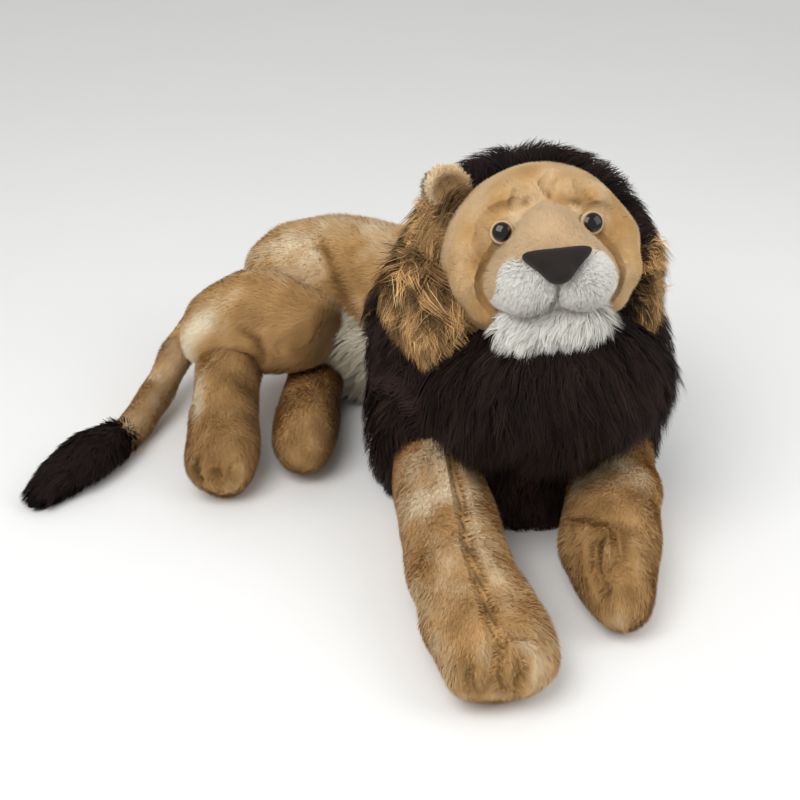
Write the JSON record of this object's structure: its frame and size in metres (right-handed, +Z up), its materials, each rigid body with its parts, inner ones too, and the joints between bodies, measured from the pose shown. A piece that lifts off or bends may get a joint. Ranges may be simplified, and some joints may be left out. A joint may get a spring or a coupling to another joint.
{
  "type": "plush lion",
  "caption": "Large plush lion lying on the floor, forelegs stretched forward, hindquarters rolled over to one side, with a dark long-pile mane and tail tuft.",
  "frame": {"origin": "on the floor, under the middle of the lion's bounding box", "axes": "+Z up from the floor; the forelegs, the hind feet and the face point to -Y; the lion's left side is at +X, and the hindquarters and the tail lie towards -X"},
  "size_m": [0.7638, 0.7721, 0.4095],
  "materials": {
    "gold_plush": "short pile plush",
    "cream_plush": "shorn plush",
    "white_plush": "white plush",
    "brown_long_pile": "long pile fur fabric",
    "golden_long_pile": "long pile fur fabric",
    "nose_velour": "velour",
    "eye_plastic": "polished",
    "washer_plastic": "moulded",
    "polyester_stuffing": "fibre filling"
  },
  "bodies": {
    "torso": {"body_skin": "gold_plush", "belly_panel": "white_plush", "body_stuffing": "polyester_stuffing", "chest_mane": "brown_long_pile"},
    "neck": {"neck_stuffed_tube": "gold_plush"},
    "head": {"head_skin": "gold_plush", "head_stuffing": "polyester_stuffing", "head_mane": "brown_long_pile", "throat_mane": "brown_long_pile", "snout_panel": "cream_plush", "muzzle_pad_right": "white_plush", "muzzle_pad_left": "white_plush", "nose": "nose_velour", "chin_beard": "white_plush", "eye_right": "eye_plastic", "eye_left": "eye_plastic", "eye_washer_right": "washer_plastic", "eye_washer_left": "washer_plastic", "ear_right": "gold_plush", "ear_left": "gold_plush", "ear_lining_right": "golden_long_pile", "ear_lining_left": "golden_long_pile", "cheek_ruff_right": "golden_long_pile", "cheek_ruff_left": "golden_long_pile"},
    "foreleg_right": {"foreleg_right_skin": "gold_plush", "foreleg_right_stuffing": "polyester_stuffing"},
    "foreleg_left": {"foreleg_left_skin": "gold_plush", "foreleg_left_stuffing": "polyester_stuffing"},
    "hind_leg_right": {"hind_thigh_right_skin": "gold_plush", "hind_thigh_right_stuffing": "polyester_stuffing", "hind_foot_right_skin": "gold_plush", "hind_foot_right_stuffing": "polyester_stuffing"},
    "hind_leg_left": {"hind_leg_left_skin": "gold_plush", "hind_leg_left_stuffing": "polyester_stuffing"},
    "tail": {"tail_skin": "gold_plush", "tail_stuffing": "polyester_stuffing", "tail_tuft": "brown_long_pile"}
  },
  "joints": [
    {"name": "head_turn", "type": "hinge", "parent": "torso", "child": "neck", "pos_m": [0.205, 0.02, 0.27], "axis": [0, 0, 1], "range_deg": [-20, 20]},
    {"name": "head_nod", "type": "hinge", "parent": "neck", "child": "head", "pos_m": [0.205, 0.02, 0.27], "axis": [1, 0, 0], "range_deg": [-10, 10]},
    {"name": "foreleg_right_swing", "type": "hinge", "parent": "torso", "child": "foreleg_right", "pos_m": [0.105, 0.02, 0.059], "axis": [0, 0, 1], "range_deg": [-12, 3]},
    {"name": "foreleg_left_swing", "type": "hinge", "parent": "torso", "child": "foreleg_left", "pos_m": [0.3, 0.085, 0.059], "axis": [0, 0, 1], "range_deg": [-3, 12]},
    {"name": "hind_leg_right_lift", "type": "hinge", "parent": "torso", "child": "hind_leg_right", "pos_m": [-0.14, 0.2, 0.182], "axis": [-1, 0, 0], "range_deg": [0, 35]},
    {"name": "hind_leg_left_swing", "type": "hinge", "parent": "torso", "child": "hind_leg_left", "pos_m": [-0.052, 0.225, 0.039], "axis": [0, 0, 1], "range_deg": [-1, 8]},
    {"name": "tail_swing", "type": "hinge", "parent": "torso", "child": "tail", "pos_m": [-0.118, 0.296, 0.14], "axis": [0, 0, 1], "range_deg": [-35, 2]}
  ]
}
